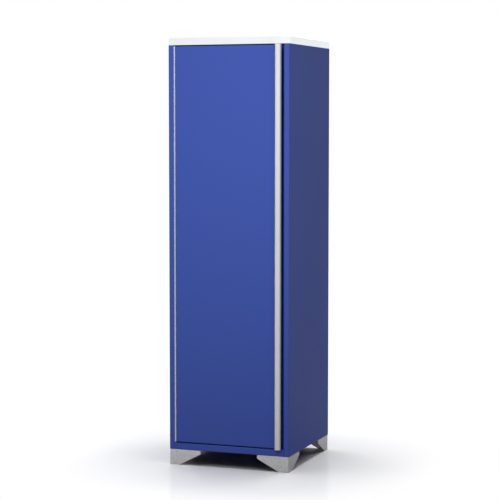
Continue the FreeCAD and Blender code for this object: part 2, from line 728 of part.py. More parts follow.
def catch_bracket(z):
    """Angle that carries a catch behind the right stop strip."""
    lap = stop_rear + BRACKET / 2
    side = catch_right + BRACKET / 2
    path = [(side, lap + BRACKET_LEG), (side, lap), (side + BRACKET_LEG, lap)]
    angle = folded(path, (z - CATCH_HEIGHT / 2, z + CATCH_HEIGHT / 2), PLAN, BRACKET, BEND)
    holes = [through(RIVET_RADIUS, place, Y, 2 * (STOP_SHEET + BRACKET)) for place in bracket_rivet_places()]
    holes += [through(SCREW_RADIUS, place, X, 2 * BRACKET) for place in catch_screw_places(z)]
    return drilled(angle, holes)


def catch_fasteners():
    """Rivets through the stop strip, and screws through the brackets into the housings."""
    pieces = [rivet(place, Y, STOP_SHEET + BRACKET) for place in bracket_rivet_places()]
    for z in catch_centres.values():
        pieces += [screw(place, -X, CATCH_SCREW_LENGTH) for place in catch_screw_places(z)]
    return Part.makeCompound(pieces)


def door_bumpers():
    """Rubber buttons pushed into the right stop strip, which the door closes against."""
    head = STOP_GAP - BUMPER_AIR
    neck = BUMPER_RADIUS / 2
    outline = [(0, -head), (BUMPER_RADIUS * 0.8, -head), (BUMPER_RADIUS, -head * 0.5), (BUMPER_RADIUS, 0),
               (neck, 0), (neck, STOP_SHEET), (neck * 1.4, STOP_SHEET), (neck * 0.6, STOP_SHEET + neck),
               (0, STOP_SHEET + neck)]
    return Part.makeCompound([turned(outline, Vector(bumper_x, stop, z), Y) for z in bumper_z])


# ---------------------------------------------------------------- continuous hinge

hinge_low = door_bottom + HINGE_SETBACK
hinge_high = door_top - HINGE_SETBACK
knuckle_count = 2 * round((hinge_high - hinge_low) / KNUCKLE_PITCH / 2) + 1
knuckle_pitch = (hinge_high - hinge_low) / knuckle_count


def knuckle_span(n):
    low = hinge_low + n * knuckle_pitch
    return (low + KNUCKLE_GAP / 2, low + knuckle_pitch - KNUCKLE_GAP / 2)


def leaf(x, knuckles):
    """One leaf of the hinge: a plate across x, and the barrels of its own knuckles."""
    plate_y = (front + KNUCKLE_RADIUS + LEAF_START, front + LEAF_WIDTH)
    parts = [box(x, plate_y, (hinge_low, hinge_high))]
    for n in knuckles:
        z = knuckle_span(n)
        parts.append(box(x, (front, plate_y[0]), z))
        parts.append(rod(KNUCKLE_RADIUS, Vector(hinge_x, front, z[0]), Z * (z[1] - z[0])))
    bore = rod(PIN_RADIUS + PIN_CLEARANCE, Vector(hinge_x, front, door_bottom), Z * (door_top - door_bottom))
    return fused(parts).cut(bore)


def hinge_frame_leaf():
    jamb = left + STILE
    holes = [through(RIVET_RADIUS, Vector(jamb, hinge_rivet_y, z), X, 3 * LEAF) for z in hinge_rivet_z]
    return drilled(leaf((jamb, jamb + LEAF), range(0, knuckle_count, 2)), holes)


def hinge_door_leaf():
    holes = [through(RIVET_RADIUS, Vector(door_left, hinge_rivet_y, z), X, 3 * LEAF) for z in door_rivet_z]
    return drilled(leaf((door_left - LEAF, door_left), range(1, knuckle_count, 2)), holes)


def hinge_pin():
    """Wire through every knuckle, held by its spun ends."""
    pin = rod(PIN_RADIUS, Vector(hinge_x, front, hinge_low), Z * (hinge_high - hinge_low))
    low_end = rod(PIN_RADIUS * 1.5, Vector(hinge_x, front, hinge_low), -Z * HINGE_SETBACK / 2)
    high_end = rod(PIN_RADIUS * 1.5, Vector(hinge_x, front, hinge_high), Z * HINGE_SETBACK / 2)
    return fused([pin, low_end, high_end])


def hinge_frame_rivets():
    x = left + STILE + LEAF
    return Part.makeCompound([rivet(Vector(x, hinge_rivet_y, z), -X, LEAF + SHEET) for z in hinge_rivet_z])


def hinge_door_rivets():
    x = door_left - LEAF
    return Part.makeCompound([rivet(Vector(x, hinge_rivet_y, z), X, LEAF + SHEET) for z in door_rivet_z])


# ---------------------------------------------------------------- door

handle_screw_z = spread(door_bottom + HANDLE_SCREW_END, door_top - HANDLE_SCREW_END, HANDLE_SCREW_PITCH)
handle_right = door_right + HANDLE_OVERHANG
handle_left = handle_right - HANDLE_WIDTH
nose_y = front - HANDLE_PROUD + NOSE_CORNER  # where the flanks turn into the front
base_x = (handle_left, door_right - DOOR_RADIUS)  # handle's seat on the door's face
handle_screw_x = (base_x[0] + base_x[1]) / 2


def rounded(x, y, z, radius):
    """A block with every edge rounded but those of its rear face."""
    block = box(x, y, z)
    edges = [edge for edge in block.Edges if edge.BoundBox.YMin < y[0] + radius / 2]
    return block.makeFillet(radius, edges)


def door_skin():
    """Outer pan of the door, with a flange all round its rear."""
    x = (door_left, door_right)
    z = (door_bottom, door_top)
    outer = rounded(x, (front, skin_rear), z, DOOR_RADIUS)
    inner_x = (x[0] + SHEET, x[1] - SHEET)
    inner_z = (z[0] + SHEET, z[1] - SHEET)
    inner = rounded(inner_x, (front + SHEET, skin_rear - SHEET), inner_z, DOOR_RADIUS - SHEET)
    mouth = box((x[0] + DOOR_HEM, x[1] - DOOR_HEM), (skin_rear - 2 * SHEET, skin_rear + SHEET),
                (z[0] + DOOR_HEM, z[1] - DOOR_HEM))
    rivets = [Vector(door_left, hinge_rivet_y, height) for height in door_rivet_z]
    holes = [through(RIVET_RADIUS, place, X, 3 * SHEET) for place in rivets]
    return drilled(outer, [inner, mouth] + holes + handle_holes() + strike_holes())


def door_liner():
    """Inner sheet of the door with two pressed ribs, fixed on the skin's rear flange."""
    x = (door_left + LINER_INSET, door_right - LINER_INSET)
    z = (door_bottom + LINER_INSET, door_top - LINER_INSET)
    sheet = box(x, (skin_rear, door_rear), z)
    run = (door_bottom + RIB_MARGIN, door_top - RIB_MARGIN)
    middle = (door_left + door_right) / 2
    centres = [Vector(middle + side * LINER_RIB_SPACING / 2, door_rear, 0) for side in (-1, 1)]
    sheet = fused([sheet] + [rib(centre, run, RIB_RADIUS + LINER, -1) for centre in centres])
    return drilled(sheet, [rib(centre, run, RIB_RADIUS, -1) for centre in centres] + strike_holes())


def door_stiffener():
    """Hat channel bonded inside the door, between skin and liner."""
    middle = (door_left + door_right) / 2
    low = front + SHEET + half
    high = skin_rear - half
    x = (middle - DOOR_STIFFENER_WIDTH / 2, middle + DOOR_STIFFENER_WIDTH / 2)
    path = [(x[0] - STIFFENER_LIP, low), (x[0], low), (x[0], high), (x[1], high), (x[1], low),
            (x[1] + STIFFENER_LIP, low)]
    run = (door_bottom + DOOR_HEM + SHEET, door_top - DOOR_HEM - SHEET)
    return folded(path, run, PLAN)


def handle_screw_places():
    """Seats of the handle's screws, on the backing strip inside the door."""
    return [Vector(handle_screw_x, front + SHEET + BACKING, z) for z in handle_screw_z]


def handle_holes():
    depth = BACKING + SHEET + HANDLE_SCREW_GRIP + DRILL_REST
    return [hole(SCREW_RADIUS, place, -Y, depth) for place in handle_screw_places()]


def handle_backing_strip():
    run = (door_bottom + DOOR_HEM, door_top - DOOR_HEM)
    return drilled(box(base_x, (front + SHEET, front + SHEET + BACKING), run), handle_holes())


def strike_rivet_places():
    x = (catch_left + catch_right) / 2
    reach = MAGNET_HEIGHT / 2 + STRIKE_MARGIN + RIVET_HEAD_RADIUS
    return [Vector(x, door_rear + STRIKE, z + way * reach) for z in catch_centres.values() for way in (-1, 1)]


def strike_holes():
    depth = STRIKE + LINER + SHEET + RIVET_TAIL
    return [hole(RIVET_RADIUS, place, -Y, depth) for place in strike_rivet_places()]


def strike_plate(z):
    """Steel plate on the liner, which the poles of a catch pull on."""
    reach = MAGNET_HEIGHT / 2 + 2 * (STRIKE_MARGIN + RIVET_HEAD_RADIUS)
    middle = (catch_left + catch_right) / 2
    x = (middle - STRIKE_WIDTH / 2, middle + STRIKE_WIDTH / 2)
    return drilled(box(x, (door_rear, door_rear + STRIKE), (z - reach, z + reach)), strike_holes())


def strike_rivets():
    return Part.makeCompound([rivet(place, -Y, STRIKE + LINER) for place in strike_rivet_places()])


# ---------------------------------------------------------------- handle


def line(a, b, z):
    return Part.LineSegment(Vector(a[0], a[1], z), Vector(b[0], b[1], z)).toShape()


def arc(centre, radius, degrees, z):
    """Arc about a centre between two angles, in degrees from +X."""
    angles = [math.radians(degree) for degree in (degrees[0], sum(degrees) / 2, degrees[1])]
    points = [Vector(centre[0] + radius * math.cos(angle), centre[1] + radius * math.sin(angle), z)
              for angle in angles]
    return Part.Arc(*points).toShape()


def handle_nose(z, inset):
    """Front of the handle with its two round corners, an inset in from the outside."""
    radius = NOSE_CORNER - inset
    x = (handle_left + NOSE_CORNER, handle_right - NOSE_CORNER)
    return [
        arc((x[0], nose_y), radius, (180, 270), z),
        line((x[0], nose_y - radius), (x[1], nose_y - radius), z),
        arc((x[1], nose_y), radius, (270, 360), z),
    ]


def handle_outline(z):
    """Outside of the handle: seat on the door, rounded front, and an overhang with a flat rear."""
    rear = front - HANDLE_SETBACK
    corner = (handle_right - HANDLE_CORNER, rear - HANDLE_CORNER)
    edges = [
        line((base_x[1], front), (handle_left, front), z),
        line((handle_left, front), (handle_left, nose_y), z),
        *handle_nose(z, 0),
        line((handle_right, nose_y), (handle_right, corner[1]), z),
        arc(corner, HANDLE_CORNER, (0, 90), z),
        line((corner[0], rear), (base_x[1], rear), z),
        line((base_x[1], rear), (base_x[1], front), z),
    ]
    return Part.Face(Part.Wire(edges))


def handle_bore(z, inset):
    """Hollow inside the handle, an inset in from its walls."""
    wall = HANDLE_WALL + inset
    x = (handle_left + wall, handle_right - wall)
    rear = front - HANDLE_SETBACK - wall
    edges = [
        *handle_nose(z, wall),
        line((x[1], nose_y), (x[1], rear), z),
        line((x[1], rear), (x[0], rear), z),
        line((x[0], rear), (x[0], nose_y), z),
    ]
    return Part.Face(Part.Wire(edges))


def door_handle():
    """Full-height aluminium extrusion, one closed hollow section."""
    length = Z * (door_top - door_bottom)
    bar = handle_outline(door_bottom).extrude(length)
    return drilled(bar, [handle_bore(door_bottom, 0).extrude(length)] + handle_holes())


def handle_cap(z, way):
    """End cap at height z, with a plug in the hollow. way is 1 on the top end and -1 on the bottom end."""
    plate = handle_outline(z).extrude(Z * (CAP * way))
    plug = handle_bore(z, PLUG_FIT).extrude(Z * (-way * PLUG_LENGTH))
    return plate.fuse(plug).removeSplitter()


def handle_screws():
    length = BACKING + SHEET + HANDLE_SCREW_GRIP
    return Part.makeCompound([screw(place, -Y, length) for place in handle_screw_places()])


# ---------------------------------------------------------------- all nodes


def nodes():
    """Every piece, by the name of its node."""
    made = {
        "side_panel_left": side_panel(),
        "side_panel_right": side_panel_right(),
        "door_post_left": door_post_left(),
        "door_post_right": door_post_right(),
        "door_stop_left": door_stop(),
        "door_stop_right": door_stop_right(),
        "back_panel": back_panel(),
        "wall_rail": wall_rail(),
        "back_rivets": back_rivets(),
        "floor_pan": floor_pan(),
        "floor_stiffener": floor_stiffener(),
        "top_pan": top_pan(),
        "worktop_core": worktop_core(),
        "worktop_skin": worktop_skin(),
        "worktop_screws": worktop_screws(),
        "foot_bolts": foot_bolts(),
        "foot_nuts": foot_nuts(),
        "shelf_clips": shelf_clips(),
        "catch_fasteners": catch_fasteners(),
        "door_bumpers": door_bumpers(),
        "hinge_frame_leaf": hinge_frame_leaf(),
        "hinge_door_leaf": hinge_door_leaf(),
        "hinge_pin": hinge_pin(),
        "hinge_frame_rivets": hinge_frame_rivets(),
        "hinge_door_rivets": hinge_door_rivets(),
        "door_skin": door_skin(),
        "door_liner": door_liner(),
        "door_stiffener": door_stiffener(),
        "handle_backing_strip": handle_backing_strip(),
        "door_handle": door_handle(),
        "handle_cap_top": handle_cap(door_top, 1),
        "handle_cap_bottom": handle_cap(door_bottom, -1),
        "handle_screws": handle_screws(),
        "strike_rivets": strike_rivets(),
    }
    corner = foot()
    made["foot_front_left"] = corner
    made["foot_front_right"] = mirrored_x(corner)
    made["foot_rear_left"] = mirrored_y(corner)
    made["foot_rear_right"] = mirrored_x(mirrored_y(corner))
    for place, front_y in upright_fronts.items():
        made["upright_left_" + place] = upright(front_y)
        made["upright_right_" + place] = mirrored_x(upright(front_y))
    for number, z in enumerate(shelf_slots, 1):
        made["shelf_" + str(number)] = shelf(z)
    for place, z in catch_centres.items():
        made["catch_housing_" + place] = catch_housing(z)
        made["catch_magnet_" + place] = catch_magnet(z)
        made["catch_poles_" + place] = catch_poles(z)
        made["catch_bracket_" + place] = catch_bracket(z)
        made["strike_plate_" + place] = strike_plate(z)
    return made


def main():
    os.makedirs("parts", exist_ok=True)
    for name, shape in nodes().items():
        shape.exportStep(os.path.join("parts", name + ".step"))
        volume = sum(solid.Volume for solid in shape.Solids)
        print(f"{name}: {len(shape.Solids)} solids, {volume:.0f} mm3, valid {shape.isValid()}")


main()
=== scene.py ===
import math

import bmesh
import bpy
import numpy as np
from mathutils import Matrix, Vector


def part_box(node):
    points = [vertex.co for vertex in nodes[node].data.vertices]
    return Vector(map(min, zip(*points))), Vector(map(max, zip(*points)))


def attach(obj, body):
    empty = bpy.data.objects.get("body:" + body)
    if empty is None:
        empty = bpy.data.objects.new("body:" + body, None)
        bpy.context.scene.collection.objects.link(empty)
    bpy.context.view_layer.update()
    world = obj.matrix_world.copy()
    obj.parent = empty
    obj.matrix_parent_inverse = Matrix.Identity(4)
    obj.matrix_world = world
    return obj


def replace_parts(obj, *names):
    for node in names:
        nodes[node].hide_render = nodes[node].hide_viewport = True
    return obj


# Tall steel side locker for a tool chest: blue powder-coated carcass and door, metal-clad worktop, aluminium
# handle, continuous hinge and four silver corner feet. Metres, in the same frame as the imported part: +Z is
# up, -Y is the front, and the origin is the middle of the locker at floor level.

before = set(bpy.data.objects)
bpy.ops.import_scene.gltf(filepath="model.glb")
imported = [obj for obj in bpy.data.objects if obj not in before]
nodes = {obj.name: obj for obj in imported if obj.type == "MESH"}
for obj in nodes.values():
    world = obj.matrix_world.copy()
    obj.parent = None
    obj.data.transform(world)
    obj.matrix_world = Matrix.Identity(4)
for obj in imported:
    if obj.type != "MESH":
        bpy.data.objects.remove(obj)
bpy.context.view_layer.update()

# ---------------------------------------------------------------- carcass
# Side panels, door posts, floor and top are folded from 1.2 mm steel sheet and welded, and a 1 mm back is
# riveted on. All of it is powder-coated a satin royal blue, with the faint orange peel that baked powder has.


class Signal:
    """One output of a shader node. Arithmetic between signals and numbers adds Math nodes."""

    def __init__(self, network, socket):
        self.network = network
        self.socket = socket

    def worked(self, operation, first, second):
        """The result of a Math node."""
        return self.network.add("ShaderNodeMath", {"operation": operation}, {0: first, 1: second})

    def __add__(self, other):
        return self.worked("ADD", self, other)

    def __mul__(self, other):
        return self.worked("MULTIPLY", self, other)

    __radd__ = __add__
    __rmul__ = __mul__


class Network:
    """A tree of shader nodes, and the calls that build it up."""

    def __init__(self, tree):
        self.tree = tree

    def feed(self, node, inputs):
        """Gives a node's sockets their values, or links signals to them."""
        for name, value in inputs.items():
            if isinstance(value, Signal):
                self.tree.links.new(value.socket, node.inputs[name])
            else:
                node.inputs[name].default_value = value

    def add(self, kind, settings, inputs, output=0):
        """Adds a node of a type: first its settings, then its sockets. Returns one of its outputs."""
        node = self.tree.nodes.new(kind)
        for name, value in settings.items():
            setattr(node, name, value)
        self.feed(node, inputs)
        return Signal(self, node.outputs[output])


class Finish(Network):
    """A surface finish: one material, its Principled shader, and the nodes that vary it."""

    def __init__(self, name, **constants):
        self.material = bpy.data.materials.new(name)
        self.material.use_nodes = True
        super().__init__(self.material.node_tree)
        self.shader = self.tree.nodes["Principled BSDF"]
        self.show(**constants)
        self.place = self.add("ShaderNodeTexCoord", {}, {}, "Object")

    def show(self, **inputs):
        """Sets sockets of the Principled shader, named with underscores for spaces."""
        self.feed(self.shader, {name.replace("_", " "): value for name, value in inputs.items()})

    def noise(self, scale, detail=2.0, stretch=(1, 1, 1)):
        """Noise from 0 to 1, scale features to the metre. stretch lengthens them along an axis."""
        spread = [scale / along for along in stretch]
        point = self.add("ShaderNodeMapping", {}, {"Vector": self.place, "Scale": spread}, "Vector")
        return self.add("ShaderNodeTexNoise", {}, {"Vector": point, "Scale": 1.0, "Detail": detail}, 0)

    def band(self, value, low, high):
        """0 below low, 1 above high, and a smooth step between them."""
        limits = {"Value": value, "From Min": low, "From Max": high}
        return self.add("ShaderNodeMapRange", {"interpolation_type": "SMOOTHSTEP"}, limits, 0)

    def mix(self, share, first, second):
        """Colour between two colours."""
        return self.add("ShaderNodeMix", {"data_type": "RGBA"}, {0: share, 6: first, 7: second}, 2)

    def bump(self, height, depth):
        """Surface relief, depth metres high where height is 1."""
        relief = {"Height": height, "Distance": depth, "Strength": 1.0}
        return self.add("ShaderNodeBump", {}, relief, "Normal")


def tint(colour, factor):
    """A colour made darker or lighter, with full alpha."""
    return [channel * factor for channel in colour[:3]] + [1.0]


ROYAL_BLUE = (0.031, 0.074, 0.395)


def powder_coat(name, colour):
    """Base colour drifts by up to 5 % each way, in broad clouds and in grains 1 mm wide. Roughness is 0.6 to
    0.71, and the relief is orange peel about 3 mm from crest to crest and 15 micrometres high."""
    coat = Finish(name, Specular_IOR_Level=0.4)
    clouds = coat.noise(5.0, detail=3.0)
    grain = coat.noise(900.0, detail=1.0)
    peel = coat.noise(330.0)
    drift = coat.mix(clouds * 0.6 + grain * 0.4, tint(colour, 0.95), tint(colour, 1.05))
    coat.show(Base_Color=drift, Roughness=clouds * 0.05 + peel * 0.06 + 0.6,
              Normal=coat.bump(peel, 0.000015))
    return coat


def dress(finish, *names):
    """Gives CAD nodes a finish, with their meshes as they are."""
    for name in names:
        slots = nodes[name].data.materials
        slots.clear()
        slots.append(finish.material)


body_coat = powder_coat("body_powder_coat", ROYAL_BLUE)
dress(body_coat, "side_panel_left", "side_panel_right", "door_post_left", "door_post_right",
      "door_stop_left", "door_stop_right", "back_panel", "floor_pan", "floor_stiffener", "top_pan",
      "upright_left_front", "upright_left_rear", "upright_right_front", "upright_right_rear")

# ---------------------------------------------------------------- worktop
# A board wrapped in 1 mm stainless sheet, brushed from side to side. The sheet is folded a little way under
# the board, and screws from the top pan hold the board down.

STAINLESS = (0.81, 0.85, 0.87)

brushed = Finish("brushed_stainless", Metallic=1.0)
lines = brushed.noise(2600.0, stretch=(400, 1, 1))
smudges = brushed.noise(9.0, detail=3.0)
steel = brushed.mix(lines * 0.6 + smudges * 0.4, tint(STAINLESS, 0.94), tint(STAINLESS, 1.05))
brushed.show(Base_Color=steel, Roughness=lines * 0.06 + smudges * 0.05 + 0.12,
             Normal=brushed.bump(lines, 0.000002))
dress(brushed, "worktop_skin")

CHIP_DARK = (0.30, 0.20, 0.11, 1)
CHIP_PALE = (0.62, 0.47, 0.30, 1)

board = Finish("particle_board", Roughness=0.9)
chips = board.add("ShaderNodeTexVoronoi", {}, {"Vector": board.place, "Scale": 260.0}, "Color")
shade = board.add("ShaderNodeSeparateColor", {}, {"Color": chips}, 0)
board.show(Base_Color=board.mix(shade, CHIP_DARK, CHIP_PALE), Normal=board.bump(shade, 0.0002))
dress(board, "worktop_core")

# ---------------------------------------------------------------- zinc-plated steel
# Rail, brackets, plates, screws and rivets are zinc-plated: a pale grey metal with soft-edged cloudy grains
# and a trace of blue and straw from the passivation.

ZINC_BLUE = (0.46, 0.49, 0.53, 1)
ZINC_STRAW = (0.53, 0.53, 0.50, 1)

zinc = Finish("zinc_plate", Metallic=1.0)
grains = zinc.noise(140.0)
straw = zinc.noise(45.0)
passivated = zinc.mix(zinc.band(straw, 0.35, 0.7), ZINC_BLUE, ZINC_STRAW)
zinc.show(Base_Color=passivated, Roughness=grains * 0.22 + 0.24, Normal=zinc.bump(grains, 0.00001))
dress(zinc, "worktop_screws", "shelf_clips", "catch_fasteners", "handle_backing_strip", "handle_screws",
      "catch_bracket_lower", "catch_bracket_upper", "catch_poles_lower", "catch_poles_upper",
      "strike_plate_lower", "strike_plate_upper")


def placed(name, mesh, finish, body, node):
    """Puts a mesh in the scene as a piece that rides on a body and stands for a CAD node."""
    mesh.materials.clear()
    mesh.materials.append(finish.material)
    piece = bpy.data.objects.new(name, mesh)
    bpy.context.scene.collection.objects.link(piece)
    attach(piece, body)
    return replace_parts(piece, node)


SAME_SPOT = 0.000001
SAME_FACE = 0.01  # radians between triangles of one face
CREASE = math.radians(30)


def eased(name, width, finish):
    """A copy of a CAD node on the cabinet, its triangles joined into faces and its edges rounded."""
    mesh = nodes[name].data.copy()
    form = bmesh.new()
    form.from_mesh(mesh)
    bmesh.ops.remove_doubles(form, verts=form.verts, dist=SAME_SPOT)
    bmesh.ops.dissolve_limit(form, angle_limit=SAME_FACE, verts=form.verts, edges=form.edges)
    form.to_mesh(mesh)
    form.free()
    mesh.attributes.remove(mesh.attributes["custom_normal"])
    mesh.shade_smooth()
    mesh.set_sharp_from_angle(angle=CREASE)
    bevel = placed(f"{name}_eased", mesh, finish, "cabinet", name).modifiers.new("edges", "BEVEL")
    bevel.width = width
    bevel.segments = 2
    bevel.limit_method = "ANGLE"
    bevel.use_clamp_overlap = False
    bevel.harden_normals = True


ROUND_TURN = math.radians(35)


def lofted(name, groups, finish, body, node):
    """A piece of closed skins, for a CAD node. A group is an array of rings, of shape (solids, rings, points,
    3): each ring joins the next with quads, and the first and last are capped."""
    points = []
    faces = []
    for rings in groups:
        index = np.arange(rings[..., 0].size).reshape(rings.shape[:3]) + len(points)
        beside = np.roll(index, -1, axis=2)
        quads = np.stack([index[:, :-1], beside[:, :-1], beside[:, 1:], index[:, 1:]], axis=-1)
        points += rings.reshape(-1, 3).tolist()
        faces += quads.reshape(-1, 4).tolist() + index[:, 0].tolist() + index[:, -1].tolist()
    mesh = bpy.data.meshes.new(name)
    mesh.from_pydata(points, [], faces)
    form = bmesh.new()
    form.from_mesh(mesh)
    bmesh.ops.recalc_face_normals(form, faces=form.faces)
    form.to_mesh(mesh)
    form.free()
    mesh.shade_smooth()
    mesh.set_sharp_from_angle(angle=ROUND_TURN)
    placed(name, mesh, finish, body, node)


def solids(name):
    """Lowest and highest corners of each separate solid in a CAD node, as an array (solids, 2, 3). Vertices
    at one spot count as one, and labels spread over the triangles until each solid has one label."""
    mesh = nodes[name].data
    places = np.empty(len(mesh.vertices) * 3)
    mesh.vertices.foreach_get("co", places)
    corners = np.empty(len(mesh.loops), int)
    mesh.loops.foreach_get("vertex_index", corners)
    spots, spot = np.unique(places.reshape(-1, 3).round(6), axis=0, return_inverse=True)
    triangles = spot.reshape(-1)[corners].reshape(-1, 3)
    label = np.arange(len(spots))
    settled = False
    while not settled:
        spread = label.copy()
        np.minimum.at(spread, triangles, label[triangles].min(axis=1)[:, None])
        spread = spread[spread]
        settled = (spread == label).all()
        label = spread
    return np.array([[spots[label == one].min(axis=0), spots[label == one].max(axis=0)]
                     for one in np.unique(label)])


def turned(name, axis, head, profile, sides, flats=None):
    """Rings of a fastener at every solid of a CAD node. The axis points from its head into the work, and the
    seat is a head's height from its head end. A profile row is (offset, share, radius): the ring's centre
    is seat + (offset + share * reach) * axis, where reach is the distance from the seat to the other end, and
    its points are radius * (cos a u + sin a v) from there, held inside a hexagon if flats is given."""
    boxes = solids(name)
    axis = np.array(axis, float)
    offset, share, radius = np.array(profile).T
    ends = np.where(axis > 0, boxes[:, 0], boxes[:, 1])
    seats = np.where(axis != 0, ends + head * axis, boxes.mean(axis=1))
    reach = ((boxes[:, 1] - boxes[:, 0]) @ abs(axis)) - head
    angle = np.linspace(0, 2 * math.pi, sides, endpoint=False)
    u = np.roll(axis, 1)
    v = np.cross(axis, u)
    width = np.repeat(radius[:, None], sides, axis=1)
    if flats:
        width = np.minimum(width, flats / 2 / np.cos(angle % (math.pi / 3) - math.pi / 6))
    circle = np.cos(angle)[:, None] * u + np.sin(angle)[:, None] * v
    centres = seats[:, None] + (offset + share * reach[:, None])[..., None] * axis
    return centres[:, :, None] + width[..., None] * circle


# A blind rivet: the pit that its mandrel leaves, a low dome 6.4 mm wide, a 3.2 mm body and a swollen tail.
RIVET_HEAD = 0.001
BLIND_RIVET = [(-0.0005, 0, 0.0005), (-0.001, 0, 0.0007), (-0.00092, 0, 0.0015), (-0.0006, 0, 0.0025),
               (-0.0001, 0, 0.0032), (0, 0, 0.0016), (-0.0014, 1, 0.0016), (-0.001, 1, 0.0024),
               (0, 1, 0.0016)]

for name, axis, body in (("back_rivets", (0, -1, 0), "cabinet"), ("strike_rivets", (0, -1, 0), "door"),
                         ("hinge_frame_rivets", (-1, 0, 0), "cabinet"),
                         ("hinge_door_rivets", (1, 0, 0), "door")):
    domed = turned(name, axis, RIVET_HEAD, BLIND_RIVET, 10)
    lofted(f"{name}_domed", [domed], zinc, body, name)

# An M8 bolt with a washer face and a chamfered 13 mm head, and its nut.
FLATS = 0.013
BOLT_HEAD = 0.0053
BOLT = [(-BOLT_HEAD, 0, 0.0058), (-0.0046, 0, 0.0075), (-0.0004, 0, 0.0075), (-0.0004, 0, 0.0061),
        (0, 0, 0.0061), (0, 0, 0.004), (-0.0007, 1, 0.004), (0, 1, 0.0034)]
NUT = [(0, 0, 0.0042), (0, 0, 0.0061), (0.0006, 0, 0.0075), (-0.0006, 1, 0.0075), (0, 1, 0.0061),
       (0, 1, 0.0042)]

for name, head, profile in (("foot_bolts", BOLT_HEAD, BOLT), ("foot_nuts", 0.0, NUT)):
    hexagons = turned(name, (0, 0, 1), head, profile, 12, FLATS)
    lofted(f"{name}_hexagon", [hexagons], zinc, "cabinet", name)

eased("wall_rail", 0.0004, zinc)

# ---------------------------------------------------------------- feet
# Four corner brackets pressed from 3 mm steel, each held by three bolts through the flanges under the floor.
# They are finished in a silver metallic that is faintly mottled.

SILVER = (0.4, 0.4, 0.41)

silver = Finish("silver_metallic", Metallic=0.55)
mottle = silver.noise(170.0)
flake = silver.noise(1500.0, detail=1.0)
patches = silver.band(mottle, 0.3, 0.7) * 0.6 + flake * 0.4
silver.show(Base_Color=silver.mix(patches, tint(SILVER, 0.82), tint(SILVER, 1.18)),
            Roughness=mottle * 0.15 + 0.38, Normal=silver.bump(mottle, 0.00003))
for foot in ("foot_front_left", "foot_front_right", "foot_rear_left", "foot_rear_right"):
    eased(foot, 0.0006, silver)

# ---------------------------------------------------------------- shelves
# Four folded steel pans in the same blue powder coat. Each lies on zinc clips that hook into the slotted
# uprights.

dress(powder_coat("shelf_powder_coat", ROYAL_BLUE), "shelf_1", "shelf_2", "shelf_3", "shelf_4")

# ---------------------------------------------------------------- catches and bumpers
# Two magnetic catches, one low and one high: a black moulded housing holds a ferrite magnet between two steel
# poles, and is screwed to a bracket on the right stop strip. Rubber buttons in that strip cushion the door.

HOUSING_DARK = (0.018, 0.018, 0.019, 1)
HOUSING_PALE = (0.036, 0.036, 0.038, 1)

plastic = Finish("black_plastic", Specular_IOR_Level=0.4)
grit = plastic.noise(2200.0, detail=1.0)
plastic.show(Base_Color=plastic.mix(grit, HOUSING_DARK, HOUSING_PALE),
             Roughness=grit * 0.15 + 0.5, Normal=plastic.bump(grit, 0.00002))
for housing in ("catch_housing_lower", "catch_housing_upper"):
    eased(housing, 0.0005, plastic)

FERRITE_DARK = (0.03, 0.03, 0.032, 1)
FERRITE_PALE = (0.07, 0.07, 0.075, 1)

ferrite = Finish("ground_ferrite", Specular_IOR_Level=0.5)
scratches = ferrite.noise(1800.0, stretch=(1, 1, 30))
ferrite.show(Base_Color=ferrite.mix(scratches, FERRITE_DARK, FERRITE_PALE),
             Roughness=scratches * 0.2 + 0.4)
dress(ferrite, "catch_magnet_lower", "catch_magnet_upper")

RUBBER_DARK = (0.012, 0.012, 0.012, 1)
RUBBER_PALE = (0.03, 0.03, 0.03, 1)

rubber = Finish("bumper_rubber", Specular_IOR_Level=0.3)
bloom = rubber.noise(500.0)
rubber.show(Base_Color=rubber.mix(bloom, RUBBER_DARK, RUBBER_PALE), Roughness=bloom * 0.1 + 0.75)
dress(rubber, "door_bumpers")

# ---------------------------------------------------------------- continuous hinge
# Two leaves of 1.2 mm satin steel, each cut into fingers that are rolled round one long wire. One leaf is
# riveted to the left door post, the other to the door's edge.

# Both steel colours carry a blue cast, which is a painted reflection of the blue paint around the hinge. The
# streaks along the wire that mix them are the steel's own.
SATIN_DARK_BLUE_REFLECTION = (0.3, 0.33, 0.42, 1)
SATIN_PALE_BLUE_REFLECTION = (0.4, 0.43, 0.52, 1)

satin = Finish("satin_steel", Metallic=0.6)
rolled = satin.noise(1400.0, stretch=(1, 1, 60))
satin.show(Base_Color=satin.mix(rolled, SATIN_DARK_BLUE_REFLECTION, SATIN_PALE_BLUE_REFLECTION),
           Roughness=rolled * 0.15 + 0.38, Normal=satin.bump(rolled, 0.000008))
dress(satin, "hinge_pin")

LEAF = 0.0012
KNUCKLE_RADIUS = 0.0035
PLATE_START = 0.0045  # behind the wire, where a leaf is whole from end to end
KNUCKLES = 47
KNUCKLE_GAP = 0.0004
ROLLED_TO = math.radians(485)
CURL_POINTS = 14
EASED = 0.00015

pin_low, pin_high = (np.array(corner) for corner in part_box("hinge_pin"))
wire = (pin_low + pin_high) / 2
hinge_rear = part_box("hinge_frame_leaf")[1][1]
hinge_low, hinge_high = (corner[2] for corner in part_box("hinge_frame_leaf"))
pitch = (hinge_high - hinge_low) / KNUCKLES


def finger(side, ease):
    """Section of a rolled finger, seen from above: out along the leaf's outer face to the wire, round it to
    the seam at ROLLED_TO, and back on the inside of the sheet. side is 1 for the leaf at -X."""
    angle = np.linspace(math.pi, ROLLED_TO, CURL_POINTS)
    outer = (KNUCKLE_RADIUS - ease) * np.array([np.cos(angle), np.sin(angle)]).T
    inner = (KNUCKLE_RADIUS - LEAF + ease) * np.array([np.cos(angle), np.sin(angle)]).T[::-1]
    root = np.array([[inner[-1, 0], PLATE_START], [outer[0, 0], PLATE_START]])
    return wire[:2] + np.concatenate([outer, inner, root]) * (side, 1)


